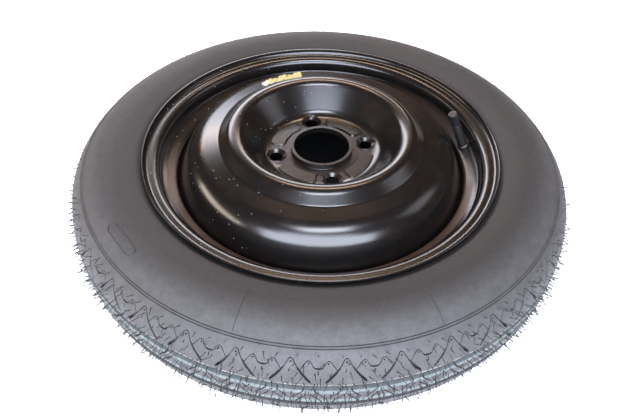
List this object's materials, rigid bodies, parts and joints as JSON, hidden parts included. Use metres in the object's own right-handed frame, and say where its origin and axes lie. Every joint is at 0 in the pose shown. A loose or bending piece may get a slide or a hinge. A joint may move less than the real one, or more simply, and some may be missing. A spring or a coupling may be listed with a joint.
{
  "type": "spare wheel",
  "caption": "Narrow temporary spare wheel: a slim tyre on a rolled steel rim with a welded, domed disc, bolt holes round a collared centre bore and a snap-in valve with a screw cap.",
  "frame": {"origin": "centre of the bolt circle, on the plane of the mounting face", "axes": "+Z is the axle line, away from the car and up as the wheel lies; +X points to the right in the picture, close to the valve; +Y points away from the camera"},
  "size_m": [0.5784, 0.5784, 0.1487],
  "materials": {
    "wheel_paint": "gloss black electro-dip paint on pressed steel, dusty",
    "tyre_rubber": "moulded black tyre rubber, satin, hardly worn",
    "valve_rubber": "moulded black rubber",
    "valve_brass": "turned brass",
    "core_seal_plastic": "moulded sealing ring",
    "spring_steel": "bright spring wire",
    "cap_plastic": "moulded black plastic, slightly shiny",
    "label_film": "yellow printed paper film, torn, with a white torn edge"
  },
  "bodies": {
    "wheel": {"wheel_rim": "wheel_paint", "wheel_disc": "wheel_paint", "disc_welds": "wheel_paint", "tyre": "tyre_rubber", "label_remnant": "label_film", "valve_rubber": "valve_rubber", "valve_stem": "valve_brass", "core_plug": "valve_brass", "core_barrel": "valve_brass", "core_seal": "core_seal_plastic", "core_spring": "spring_steel"},
    "cap_seal": {"cap_seal": "valve_rubber"},
    "valve_cap": {"valve_cap": "cap_plastic"},
    "core_pin": {"core_pin": "valve_brass", "core_cup": "valve_rubber"}
  },
  "joints": [
    {"name": "cap_turn", "type": "hinge", "parent": "cap_seal", "child": "valve_cap", "pos_m": [0.15674, 0.03189, 0.02977], "axis": [-0.4159, -0.0846, 0.9055], "range_deg": [0, 1980]},
    {"name": "cap_lift", "type": "slide", "parent": "wheel", "child": "cap_seal", "axis": [-0.4159, -0.0846, 0.9055], "range_m": [0, 0.00437]},
    {"name": "pin_push", "type": "slide", "parent": "wheel", "child": "core_pin", "axis": [0.4159, 0.0846, -0.9055], "range_m": [0, 0.0012], "stiffness_N_per_m": 1500, "springref_m": -0.001, "deforming": ["core_spring"]}
  ],
  "couplings": [
    {"joint": "cap_turn", "follows": "cap_lift", "rad_per_m": 7915.8}
  ]
}
